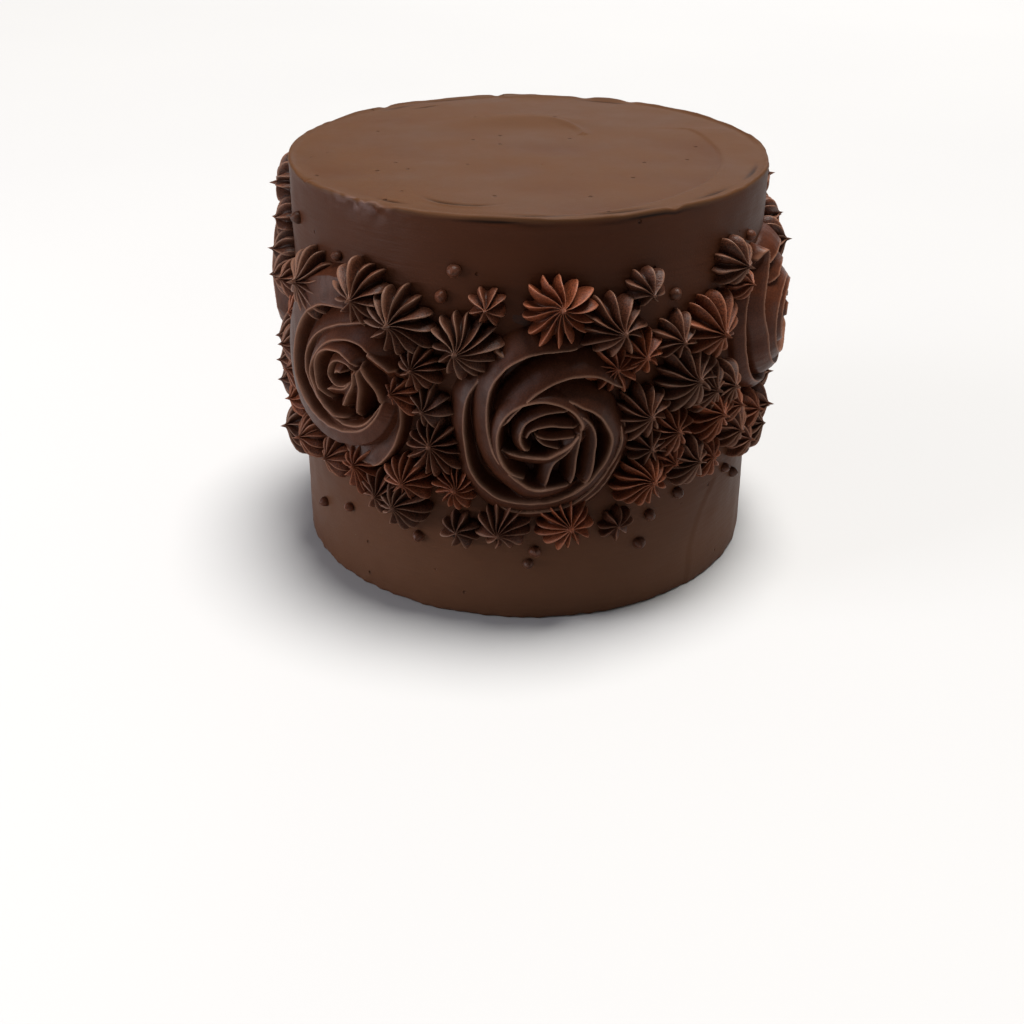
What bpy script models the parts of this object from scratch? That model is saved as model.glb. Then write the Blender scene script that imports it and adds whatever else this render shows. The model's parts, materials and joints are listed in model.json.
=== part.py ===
"""An uncut layer cake in chocolate buttercream, with a piped band of roses and stars round its side.

Units are metres, +Z is up. The origin is the middle of the underside, and angles round the cake are
counted in degrees from the front (-Y) towards the right (+X).
"""

import math
import random

import bmesh
import bpy
from mathutils import Vector

# The iced cake: four layers baked in 6 inch tins, about 4 mm of buttercream all round
CAKE_RADIUS = 0.080
CAKE_HEIGHT = 0.136
RIM_ROUND = 0.0012
CAKE_SEGMENTS = 60

# Widths of what is piped on the side are true at this distance from the axis
BAND_RADIUS = 0.086

# Room kept between two pieces that rest against each other
GAP = 0.0003
# How deep a piped piece is started inside the cake, before the cake's own shape is cut from it
ROOT_DEPTH = 0.003

# Piped roses: name, angle, height of the middle, radius
ROSES = [
    ("rose_front", 3.0, 0.0700, 0.0295),
    ("rose_right", 75.0, 0.0850, 0.0260),
    ("rose_back_right", 128.0, 0.0790, 0.0270),
    ("rose_back", 188.0, 0.0820, 0.0280),
    ("rose_back_left", 258.0, 0.0880, 0.0265),
    ("rose_left", 315.3, 0.0770, 0.0278),
]
# Names of the gaps with stars, each after the rose of the same place in the list above
GAPS = ["front_right", "right", "back_right", "back_left", "left", "front_left"]
ROSE_HEIGHT = 0.0102
# A rose is a swirl of folds that start at its edge and turn left as they wind in to the bud
ROSE_FOLDS = 4
FOLD_TURN = math.radians(200)
BUD_SHARE = 0.30
# Rings of a rose from its edge to the bud: share of the radius, height of the crests and depth of the
# grooves as shares of the rose's height
ROSE_RINGS = [
    (1.00, 0.52, 0.18), (0.90, 0.70, 0.30), (0.79, 0.82, 0.38), (0.67, 0.92, 0.42), (0.55, 0.97, 0.42),
    (0.42, 1.00, 0.36), (0.30, 1.00, 0.30),
]
# Lines of one fold, going in from its crest: share of the fold, and height from groove (0) to crest (1)
FOLD_LINES = [(0.0, 1.0), (0.20, 0.0), (0.62, 0.62)]
# The middle of the swirl lies this share of the radius above the middle of the rose
SWIRL_RISE = 0.13
# The bud: rings with share of the radius and share of the rose's height
BUD_RINGS = [(0.20, 0.62), (0.09, 0.80)]

# Piped stars of the front half: angle, height of the middle in mm, width in mm.
# They are read off the photograph from left to right.
FRONT_STARS = [
    (-90, 110, 17), (-86, 101.5, 14.5), (-82, 95.5, 17), (-68, 100, 14.5), (-64, 91, 15.5),
    (-80, 75, 15.5), (-70, 76, 15.5), (-79, 66, 15.5), (-70, 65, 14.5), (-80, 57, 15.5), (-70, 57, 15.5),
    (-72, 44, 19), (-62, 47, 15.5), (-55, 104.5, 24.5), (-60, 47.5, 15.5), (-49, 47, 15.5),
    (-40, 46.5, 18), (-37.5, 108, 22.5), (-27.5, 102, 24.5), (-34, 42, 17), (-28, 39.5, 19),
    (-26.5, 49.5, 17.5), (-28, 77, 14.5), (-23, 88, 16), (-21, 75.5, 15.5), (-20, 61.5, 20.5),
    (-12.5, 97.5, 22.5), (-8, 110, 12.5), (-15.5, 49.5, 16), (-14.5, 33.5, 14), (-4.5, 37, 18.5),
    (6.5, 108.5, 23.5), (8.5, 38, 20), (18, 103.5, 21.5), (18.5, 89.5, 17), (21, 35, 13), (25.5, 114, 13),
    (25, 93.5, 15.5), (25.5, 73.5, 20), (26, 49.5, 20), (27.5, 61.5, 15.5), (33.5, 96, 17), (33, 65, 18),
    (33.5, 55.5, 13.5), (37, 82, 23.5), (38.5, 52, 18), (43.5, 97, 23.5), (43, 76, 19), (46, 65.5, 20),
    (45.5, 49.5, 15.5), (50, 73.5, 17), (53.5, 65.5, 13.5), (55.5, 56.5, 17), (66, 56, 15.5),
    (62, 47.5, 14.5), (71, 46, 17), (50.5, 115, 16), (55, 106, 12), (85, 107, 15.5), (80, 50, 17),
    (89, 43, 15), (91, 55, 15), (92, 112, 15),
]
# Stars of the half that isn't seen, from the largest to the smallest
BACK_STAR_COUNT = 64
BACK_STAR_WIDEST = 0.0235
BACK_STAR_NARROWEST = 0.0140
BACK_FROM = 97.0
BACK_TO = 266.0
BACK_SEED = 23
BACK_TRIES = 300
BAND_BOTTOM = 0.039
BAND_TOP = 0.112
BAND_RISE = 0.005
# How far two stars may run into each other, and how far a star may lie on a rose
STAR_OVERLAP = 0.28
ROSE_OVERLAP = 0.30

# Rounds in which neighbours that don't join are made narrower until they clear each other
SETTLE_ROUNDS = 6

# Shape of a star: height is LEAST_HEIGHT plus a share of the width
STAR_LEAST_HEIGHT = 0.0028
STAR_HEIGHT_SHARE = 0.27
# Rings of a star at the cake and at its shoulder: height, radius of a ridge and of a groove, as shares
STAR_FOOT = (0.0, 1.00, 0.86)
STAR_SHOULDER = (0.60, 0.72, 0.54)
# A loose bit of less surface than this, left by a cut, is dropped
SCRAP_AREA = 0.00014
# Ridges of a wide star and of a narrow one. The real ones have 8 to 14.
WIDE_STAR = 0.0170
WIDE_RIDGES = 7
NARROW_RIDGES = 6

# Small beads of buttercream on the plain part of the side: angle and height in mm, front then back
BEADS = [
    (-67, 121), (-47, 116), (-18.5, 111), (-15.5, 119.5), (34, 109), (61, 119), (-60, 22),
    (-47.5, 27.5), (-25.5, 27), (2.5, 26), (1, 21.5), (28, 24.5), (30.5, 34), (38.5, 39), (57.5, 38.5),
    (63, 33.5), (88, 26), (104, 122), (119, 31), (139, 117), (151, 24), (171, 29), (178, 121), (199, 25),
    (214, 123), (228, 30), (241, 122), (255, 27), (281, 31),
]
BEAD_RADIUS = 0.0023
BEAD_STANDS = 0.0010
BEAD_SIDES = 6

BROWN = (0.085, 0.042, 0.028)
SATIN_BROWN = (0.045, 0.021, 0.014)
DARK_BROWN = (0.035, 0.015, 0.010)


def clear_scene():
    for obj in list(bpy.data.objects):
        bpy.data.objects.remove(obj, do_unlink=True)


def buttercream(name, colour, roughness):
    material = bpy.data.materials.new(name)
    material.use_nodes = True
    shader = material.node_tree.nodes["Principled BSDF"]
    shader.inputs["Base Color"].default_value = (*colour, 1.0)
    shader.inputs["Roughness"].default_value = roughness
    shader.inputs["Metallic"].default_value = 0.0
    return material


def on_side(angle, height, across, up, out):
    """The point that lies across and up from a place on the cake's side, and out from its surface."""
    turn = math.radians(angle) + across / BAND_RADIUS
    radius = CAKE_RADIUS + out
    return Vector((radius * math.sin(turn), -radius * math.cos(turn), height + up))


def is_closed(work):
    return bool(work.faces) and all(len(edge.link_faces) == 2 for edge in work.edges)


def object_from(name, work):
    """Puts a finished bmesh into the scene as an object at the origin."""
    bmesh.ops.remove_doubles(work, verts=work.verts, dist=1e-6)
    bmesh.ops.triangulate(work, faces=work.faces)
    bmesh.ops.recalc_face_normals(work, faces=work.faces)
    mesh = bpy.data.meshes.new(name)
    work.to_mesh(mesh)
    work.free()
    obj = bpy.data.objects.new(name, mesh)
    bpy.context.collection.objects.link(obj)
    return obj


def lofted(name, rings, tip=None):
    """A closed body through rings of points, one above the other, that ends in a point or a flat face."""
    work = bmesh.new()
    rows = [[work.verts.new(point) for point in ring] for ring in rings]
    count = len(rows[0])
    for low, high in zip(rows, rows[1:]):
        for step in range(count):
            after = (step + 1) % count
            work.faces.new((low[step], low[after], high[after], high[step]))
    work.faces.new(rows[0])
    if tip is None:
        work.faces.new(rows[-1])
    else:
        point = work.verts.new(tip)
        for step in range(count):
            work.faces.new((rows[-1][step], rows[-1][(step + 1) % count], point))
    return object_from(name, work)


def cylinder(name, radius, bottom, top):
    """An upright cylinder round the cake's axis."""
    work = bmesh.new()
    bmesh.ops.create_cone(
        work, cap_ends=True, segments=CAKE_SEGMENTS, radius1=radius, radius2=radius, depth=top - bottom
    )
    bmesh.ops.translate(work, verts=work.verts, vec=(0, 0, (top + bottom) / 2))
    return object_from(name, work)


def volume_of(mesh):
    """Volume of a mesh, or 0 where it isn't closed."""
    work = bmesh.new()
    work.from_mesh(mesh)
    volume = work.calc_volume() if is_closed(work) else 0.0
    work.free()
    return volume


def boolean(obj, operation, others):
    """Joins or cuts obj with the other objects, applies it, and removes them.

    Many stars that cross each other are more than the exact solver can close, so the manifold one
    takes over where its result has a hole, or holds less than a union must.
    """
    tools = bpy.data.collections.new("tools")
    bpy.context.scene.collection.children.link(tools)
    for other in others:
        for home in list(other.users_collection):
            home.objects.unlink(other)
        tools.objects.link(other)
    least = 0.0
    if operation == "UNION":
        least = max(volume_of(other.data) for other in [obj, *others])
    modifier = obj.modifiers.new(operation.lower(), "BOOLEAN")
    modifier.operation = operation
    modifier.operand_type = "COLLECTION"
    modifier.collection = tools
    for solver in ("EXACT", "MANIFOLD"):
        modifier.solver = solver
        bpy.context.view_layer.update()
        graph = bpy.context.evaluated_depsgraph_get()
        result = bpy.data.meshes.new_from_object(obj.evaluated_get(graph))
        if volume_of(result) > least:
            break
    obj.modifiers.clear()
    old = obj.data
    obj.data = result
    bpy.data.meshes.remove(old)
    for other in others:
        bpy.data.objects.remove(other, do_unlink=True)
    bpy.data.collections.remove(tools)


def islands(work):
    """The connected bodies of a mesh, as lists of faces."""
    left = set(work.faces)
    found = []
    while left:
        start = left.pop()
        body = [start]
        waiting = [start]
        while waiting:
            for edge in waiting.pop().edges:
                for face in edge.link_faces:
                    if face in left:
                        left.remove(face)
                        body.append(face)
                        waiting.append(face)
        found.append(body)
    return found


def clean_mesh(obj, keep):
    """Keeps some faces of the mesh, merges points that nearly meet, and joins flat neighbours."""
    for merge in (5e-5, 2e-5, 1e-5, 4e-6, 0.0):
        work = bmesh.new()
        work.from_mesh(obj.data)
        work.faces.ensure_lookup_table()
        dropped = [face for face in work.faces if face.index not in keep]
        bmesh.ops.delete(work, geom=dropped, context="FACES")
        if merge:
            bmesh.ops.remove_doubles(work, verts=work.verts, dist=merge)
            bmesh.ops.dissolve_degenerate(work, dist=merge, edges=work.edges)
            bmesh.ops.dissolve_limit(work, angle_limit=math.radians(1), verts=work.verts, edges=work.edges)
        bmesh.ops.triangulate(work, faces=work.faces)
        if (is_closed(work) and len(islands(work)) == 1) or not merge:
            work.to_mesh(obj.data)
            work.free()
            return
        work.free()


def bodies_of(obj):
    """The bodies of an object, each as an object of its own, without the loose scraps that a cut leaves."""
    work = bmesh.new()
    work.from_mesh(obj.data)
    bodies = [
        {face.index for face in body}
        for body in islands(work)
        if sum(face.calc_area() for face in body) > SCRAP_AREA
    ]
    work.free()
    found = [obj]
    for _ in bodies[1:]:
        copy = obj.copy()
        copy.data = obj.data.copy()
        bpy.context.collection.objects.link(copy)
        found.append(copy)
    for body, other in zip(bodies, found):
        clean_mesh(other, body)
    return found


def cake_cutter():
    """The cake's side and a little more, which hollows the back of all that is piped on it."""
    return cylinder("cake_cutter", CAKE_RADIUS + GAP, -0.02, CAKE_HEIGHT + 0.02)


def arc_mm(angle_a, height_a, angle_b, height_b):
    """Distance between two places on the side, measured round it, in metres."""
    across = math.radians((angle_a - angle_b + 180) % 360 - 180) * BAND_RADIUS
    return math.hypot(across, height_a - height_b)


def back_stars():
    """Stars for the side that isn't seen, the largest first, each where there is still room."""
    draw = random.Random(BACK_SEED)
    placed = [(angle, height / 1000, width / 1000) for angle, height, width in FRONT_STARS]
    found = []
    for index in range(BACK_STAR_COUNT):
        share = index / (BACK_STAR_COUNT - 1)
        width = BACK_STAR_WIDEST + (BACK_STAR_NARROWEST - BACK_STAR_WIDEST) * share
        for _ in range(BACK_TRIES):
            angle = draw.uniform(BACK_FROM, BACK_TO)
            rise = BAND_RISE * (1 - math.cos(2 * math.radians(angle)))
            height = draw.uniform(BAND_BOTTOM, BAND_TOP) + rise
            near_star = any(
                arc_mm(angle, height, other[0], other[1]) < (1 - STAR_OVERLAP) * (width + other[2]) / 2
                for other in placed
            )
            on_rose = any(
                arc_mm(angle, height, rose[1], rose[2]) < rose[3] + (0.5 - ROSE_OVERLAP) * width
                for rose in ROSES
            )
            if not near_star and not on_rose:
                placed.append((angle, height, width))
                found.append((angle, height, width))
                break
    return found


def gap_of(angle):
    """The gap between two neighbouring roses that an angle falls in."""
    passed = sum(rose[1] <= angle % 360 for rose in ROSES)
    return GAPS[passed - 1]


def between(a, b):
    """Distance between the middles of two stars."""
    return arc_mm(a["angle"], a["height"], b["angle"], b["height"])


def joined(a, b):
    """Whether a ridge of one star reaches the grooves of the other, so that they are one heap."""
    small, large = sorted((a["width"], b["width"]))
    return a["gap"] == b["gap"] and between(a, b) < small / 2 + STAR_FOOT[2] * large / 2 - GAP


def turn_towards(a, b):
    """Direction from star a to star b, on the cake's side."""
    across = math.radians((b["angle"] - a["angle"] + 180) % 360 - 180) * BAND_RADIUS
    return math.atan2(b["height"] - a["height"], across)


def star_heaps():
    """All stars, grouped: those of one gap that run into each other are one heap, and so one piece."""
    places = [(angle % 360, height / 1000, width / 1000) for angle, height, width in FRONT_STARS]
    stars = [
        {"angle": angle, "height": height, "width": width, "gap": gap_of(angle)}
        for angle, height, width in places + back_stars()
    ]
    for _ in range(SETTLE_ROUNDS):
        for i, first in enumerate(stars):
            for second in stars[:i]:
                excess = (first["width"] + second["width"]) / 2 + 1.5 * GAP - between(first, second)
                if excess > 0 and not joined(first, second):
                    first["width"] -= excess
                    second["width"] -= excess
    heaps = []
    left = list(stars)
    while left:
        heap = [left.pop(0)]
        heap[0]["start"] = 0.0
        for member in heap:
            for other in [spec for spec in left if joined(member, spec)]:
                other["start"] = turn_towards(other, member)
                left.remove(other)
                heap.append(other)
        heaps.append(heap)
    return sorted(heaps, key=lambda heap: (GAPS.index(heap[0]["gap"]), -len(heap)))


def star(name, spec, index):
    """One piped star: sharp ridges that run from the foot to a point. Its root lies inside the cake."""
    angle, middle = spec["angle"], spec["height"]
    radius = spec["width"] / 2
    height = STAR_LEAST_HEIGHT + STAR_HEIGHT_SHARE * spec["width"]
    ridges = WIDE_RIDGES if spec["width"] >= WIDE_STAR else NARROW_RIDGES
    # Each root ends at its own depth, so that no two of them share a plane
    root = -(ROOT_DEPTH + 0.00007 * index)
    below = root / (STAR_SHOULDER[0] * height)
    root_ring = [low + below * (high - low) for low, high in zip(STAR_FOOT[1:], STAR_SHOULDER[1:])]
    rings = []
    for out, ridge, groove in [(root, *root_ring), (STAR_SHOULDER[0] * height, *STAR_SHOULDER[1:])]:
        ring = []
        for step in range(2 * ridges):
            turn = spec["start"] + math.pi * step / ridges
            reach = radius * (ridge if step % 2 == 0 else groove)
            ring.append(on_side(angle, middle, reach * math.cos(turn), reach * math.sin(turn), out))
        rings.append(ring)
    return lofted(name, rings, on_side(angle, middle, 0, 0, height))


def rose_ring(rose, share, outs, twist):
    """One ring of points of a rose, at a share of its radius, turned by the twist of its folds."""
    _, angle, height, radius = rose
    ring = []
    for column in range(ROSE_FOLDS * len(FOLD_LINES)):
        fold, line = divmod(column, len(FOLD_LINES))
        turn = 2 * math.pi * (fold + FOLD_LINES[line][0]) / ROSE_FOLDS - twist
        reach = radius * share
        # Each ring is centred between the middle of the rose and the middle of the swirl
        up = reach * math.cos(turn) + radius * SWIRL_RISE * (1 - share)
        ring.append(on_side(angle, height, reach * math.sin(turn), up, outs[line]))
    return ring


def piped_rose(rose):
    """A piped rose: folds with a sharp crest and a deep groove inside it, which wind in to a bud."""
    rings = [rose_ring(rose, 0.94, [-2 * ROOT_DEPTH] * len(FOLD_LINES), 0.0)]
    for share, crest, groove in ROSE_RINGS:
        twist = FOLD_TURN * (1 - share) / (1 - BUD_SHARE)
        outs = [ROSE_HEIGHT * (crest - groove * (1 - rise)) for _, rise in FOLD_LINES]
        rings.append(rose_ring(rose, share, outs, twist))
    for share, rise in BUD_RINGS:
        rings.append(rose_ring(rose, share, [ROSE_HEIGHT * rise] * len(FOLD_LINES), FOLD_TURN))
    obj = lofted(rose[0], rings)
    boolean(obj, "DIFFERENCE", [cake_cutter()])
    return bodies_of(obj)


def rose_room(rose):
    """The room that a rose fills, which is cut from the stars piped beside it."""
    count = ROSE_FOLDS * len(FOLD_LINES)
    share = 1 / math.cos(math.pi / count) + 1.4 * GAP / rose[3]
    rings = []
    for out in (-3 * ROOT_DEPTH, 2 * ROSE_HEIGHT):
        ring = []
        for step in range(count):
            turn = 2 * math.pi * step / count
            reach = rose[3] * share
            ring.append(on_side(rose[1], rose[2], reach * math.sin(turn), reach * math.cos(turn), out))
        rings.append(ring)
    return lofted(rose[0] + "_room", rings)


def heap_of_stars(name, heap):
    """Stars that run into each other, joined, and kept clear of the roses and the cake."""
    parts = [star(f"{name}_{index}", spec, index) for index, spec in enumerate(heap)]
    obj = parts[0]
    obj.name = name
    if len(parts) > 1:
        boolean(obj, "UNION", parts[1:])
    near = [
        rose_spec
        for rose_spec in ROSES
        if any(
            arc_mm(spec["angle"], spec["height"], rose_spec[1], rose_spec[2])
            < rose_spec[3] + spec["width"] / 2 + 4 * GAP
            for spec in heap
        )
    ]
    for rose_spec in near:
        boolean(obj, "DIFFERENCE", [rose_room(rose_spec)])
    boolean(obj, "DIFFERENCE", [cake_cutter()])
    return bodies_of(obj)


def bead(index, angle, height_mm):
    """One small round bead of buttercream, set a little way into the cake."""
    work = bmesh.new()
    bmesh.ops.create_uvsphere(work, u_segments=BEAD_SIDES, v_segments=4, radius=BEAD_RADIUS)
    obj = object_from(f"bead_{index}", work)
    obj.location = on_side(angle, height_mm / 1000, 0, 0, BEAD_STANDS)
    obj.rotation_euler = (math.radians(90), 0, math.radians(angle))
    return obj


def clear_beads(heaps):
    """The beads that touch no star and no rose."""
    kept = []
    for angle, height_mm in BEADS:
        height = height_mm / 1000
        room = BEAD_RADIUS + 3 * GAP
        on_star = any(
            arc_mm(angle, height, spec["angle"], spec["height"]) < spec["width"] / 2 + room
            for heap in heaps
            for spec in heap
        )
        on_rose = any(arc_mm(angle, height, spec[1], spec[2]) < spec[3] + room for spec in ROSES)
        if not on_star and not on_rose:
            kept.append((angle, height_mm))
    return kept


def cake(beads):
    """The iced cake, solid because it is uncut, with the small beads fused to its side."""
    work = bmesh.new()
    bmesh.ops.create_cone(
        work, cap_ends=True, segments=CAKE_SEGMENTS, radius1=CAKE_RADIUS, radius2=CAKE_RADIUS, depth=CAKE_HEIGHT
    )
    bmesh.ops.translate(work, verts=work.verts, vec=(0, 0, CAKE_HEIGHT / 2))
    rim = [edge for edge in work.edges if all(vert.co.z > 0.9 * CAKE_HEIGHT for vert in edge.verts)]
    bmesh.ops.bevel(work, geom=rim, offset=RIM_ROUND, segments=1, affect="EDGES")
    obj = object_from("cake", work)
    boolean(obj, "UNION", [bead(index, *place) for index, place in enumerate(beads)])
    return bodies_of(obj)


def shade(obj):
    obj.data.shade_smooth()
    obj.data.set_sharp_from_angle(angle=math.radians(30))


def main():
    clear_scene()
    heaps = star_heaps()
    pieces = cake(clear_beads(heaps))
    for rose in ROSES:
        pieces += piped_rose(rose)
    numbers = dict.fromkeys(GAPS, 0)
    for heap in heaps:
        gap = heap[0]["gap"]
        for body in heap_of_stars("heap", heap):
            numbers[gap] += 1
            body.name = f"stars_{gap}_{numbers[gap]}"
            pieces.append(body)
    for piece in pieces:
        colour, roughness = BROWN, 0.55
        if piece.name.startswith("rose"):
            colour, roughness = SATIN_BROWN, 0.35
        elif piece.name.startswith("stars"):
            colour, roughness = DARK_BROWN, 0.45
        piece.data.materials.clear()
        piece.data.materials.append(buttercream(piece.name + " buttercream", colour, roughness))
        shade(piece)


main()
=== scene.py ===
"""Looks of an uncut layer cake in chocolate buttercream, with piped roses, stars and beads."""

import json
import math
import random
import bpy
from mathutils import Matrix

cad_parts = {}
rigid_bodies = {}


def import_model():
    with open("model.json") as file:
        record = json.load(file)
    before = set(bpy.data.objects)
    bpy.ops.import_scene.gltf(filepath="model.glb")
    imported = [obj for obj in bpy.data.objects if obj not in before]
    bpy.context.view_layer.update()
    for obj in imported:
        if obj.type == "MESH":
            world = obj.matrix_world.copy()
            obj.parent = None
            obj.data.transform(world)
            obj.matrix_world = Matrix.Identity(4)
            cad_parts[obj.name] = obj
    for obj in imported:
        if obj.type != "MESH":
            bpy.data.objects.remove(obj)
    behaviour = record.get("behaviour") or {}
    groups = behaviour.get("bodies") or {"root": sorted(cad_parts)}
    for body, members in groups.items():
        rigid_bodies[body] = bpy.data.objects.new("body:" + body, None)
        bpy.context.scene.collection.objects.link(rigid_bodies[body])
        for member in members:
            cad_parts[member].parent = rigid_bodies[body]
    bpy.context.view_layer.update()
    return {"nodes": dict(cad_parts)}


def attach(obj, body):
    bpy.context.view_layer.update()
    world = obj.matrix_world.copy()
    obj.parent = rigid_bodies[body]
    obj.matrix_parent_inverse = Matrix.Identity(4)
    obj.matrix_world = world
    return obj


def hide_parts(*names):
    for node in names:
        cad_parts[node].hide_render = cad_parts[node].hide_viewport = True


bl_info = {
    "name": "Piped layer cake",
    "version": (1, 0, 0),
    "blender": (4, 5, 0),
    "location": "3D View > Sidebar > Cake",
    "description": "Ices a layer cake and pipes its roses, stars and beads",
    "category": "Object",
}

import bmesh
import bpy
import numpy as np
from bpy.props import FloatProperty, FloatVectorProperty, IntProperty, PointerProperty
from bpy.types import Operator, Panel, PropertyGroup
from mathutils import Matrix, Vector

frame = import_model()

# Sizes shared with the solids, in metres and degrees. Angles are counted from the front to the right.
CAKE_RADIUS = 0.080
CAKE_HEIGHT = 0.136
BAND_RADIUS = 0.086
ROSES = [
    ("rose_front", 3.0, 0.0700, 0.0295),
    ("rose_right", 75.0, 0.0850, 0.0260),
    ("rose_back_right", 128.0, 0.0790, 0.0270),
    ("rose_back", 188.0, 0.0820, 0.0280),
    ("rose_back_left", 258.0, 0.0880, 0.0265),
    ("rose_left", 315.3, 0.0770, 0.0278),
]
GAPS = ["front_right", "right", "back_right", "back_left", "left", "front_left"]

# Stars of the front half: angle, height and width in mm, how red (0 dark brown, 1 red brown), ridges
FRONT_STARS = [
    (-90, 110, 17, 0.2, 10), (-86, 101.5, 14.5, 0.1, 9), (-82, 95.5, 17, 0.1, 10),
    (-68, 100, 14.5, 0.3, 9), (-64, 91, 15.5, 0.9, 11), (-80, 75, 15.5, 0.1, 9),
    (-70, 76, 15.5, 0.2, 10), (-79, 66, 15.5, 0.1, 9), (-70, 65, 14.5, 0.6, 9),
    (-80, 57, 15.5, 0.1, 8), (-70, 57, 15.5, 0.8, 10), (-72, 44, 19, 0.1, 12),
    (-62, 47, 15.5, 0.5, 9), (-55, 104.5, 24.5, 0.1, 13), (-60, 47.5, 15.5, 0.6, 10),
    (-49, 47, 15.5, 0.5, 10), (-40, 46.5, 18, 0.8, 12), (-37.5, 108, 22.5, 0.1, 12),
    (-27.5, 102, 24.5, 0.1, 13), (-34, 42, 17, 0.2, 10), (-28, 39.5, 19, 0.1, 12),
    (-26.5, 49.5, 17.5, 0.8, 12), (-28, 77, 14.5, 0.8, 9), (-23, 88, 16, 0.2, 12),
    (-21, 75.5, 15.5, 0.1, 8), (-20, 61.5, 20.5, 0.2, 14), (-12.5, 97.5, 22.5, 0.1, 14),
    (-8, 110, 12.5, 0.4, 8), (-15.5, 49.5, 16, 0.9, 14), (-14.5, 33.5, 14, 0.1, 8),
    (-4.5, 37, 18.5, 0.2, 12), (6.5, 108.5, 23.5, 0.9, 14), (8.5, 38, 20, 0.9, 14),
    (18, 103.5, 21.5, 0.2, 12), (18.5, 89.5, 17, 0.9, 11), (21, 35, 13, 0.1, 8),
    (25.5, 114, 13, 0.1, 8), (25, 93.5, 15.5, 1.0, 10), (25.5, 73.5, 20, 0.2, 12),
    (26, 49.5, 20, 0.9, 14), (27.5, 61.5, 15.5, 0.1, 9), (33.5, 96, 17, 0.1, 10),
    (33, 65, 18, 0.6, 12), (33.5, 55.5, 13.5, 0.8, 8), (37, 82, 23.5, 0.1, 13),
    (38.5, 52, 18, 0.1, 11), (43.5, 97, 23.5, 0.7, 13), (43, 76, 19, 0.1, 12),
    (46, 65.5, 20, 0.9, 13), (45.5, 49.5, 15.5, 0.8, 10), (50, 73.5, 17, 0.1, 10),
    (53.5, 65.5, 13.5, 0.8, 9), (55.5, 56.5, 17, 0.2, 10), (66, 56, 15.5, 0.8, 10),
    (62, 47.5, 14.5, 0.3, 9), (71, 46, 17, 0.1, 11), (50.5, 115, 16, 0.1, 9), (55, 106, 12, 0.7, 8),
    (85, 107, 15.5, 0.1, 10), (80, 50, 17, 0.3, 10), (89, 43, 15, 0.8, 10), (91, 55, 15, 0.1, 9),
    (92, 112, 15, 0.2, 9),
]
BACK_STAR_COUNT = 64
BACK_STAR_WIDEST = 0.0235
BACK_STAR_NARROWEST = 0.0140
BACK_FROM = 97.0
BACK_TO = 266.0
BACK_SEED = 23
BACK_TRIES = 300
BAND_BOTTOM = 0.039
BAND_TOP = 0.112
BAND_RISE = 0.005
STAR_OVERLAP = 0.28
ROSE_OVERLAP = 0.30

# Beads of buttercream on the plain part of the side: angle and height in mm
BEADS = [
    (-67, 121), (-47, 116), (-18.5, 111), (-15.5, 119.5), (34, 109), (61, 119), (-60, 22),
    (-47.5, 27.5), (-25.5, 27), (2.5, 26), (1, 21.5), (28, 24.5), (30.5, 34), (38.5, 39),
    (57.5, 38.5), (63, 33.5), (88, 26), (104, 122), (119, 31), (139, 117), (151, 24), (171, 29),
    (178, 121), (199, 25), (214, 123), (228, 30), (241, 122), (255, 27), (281, 31),
]

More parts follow.
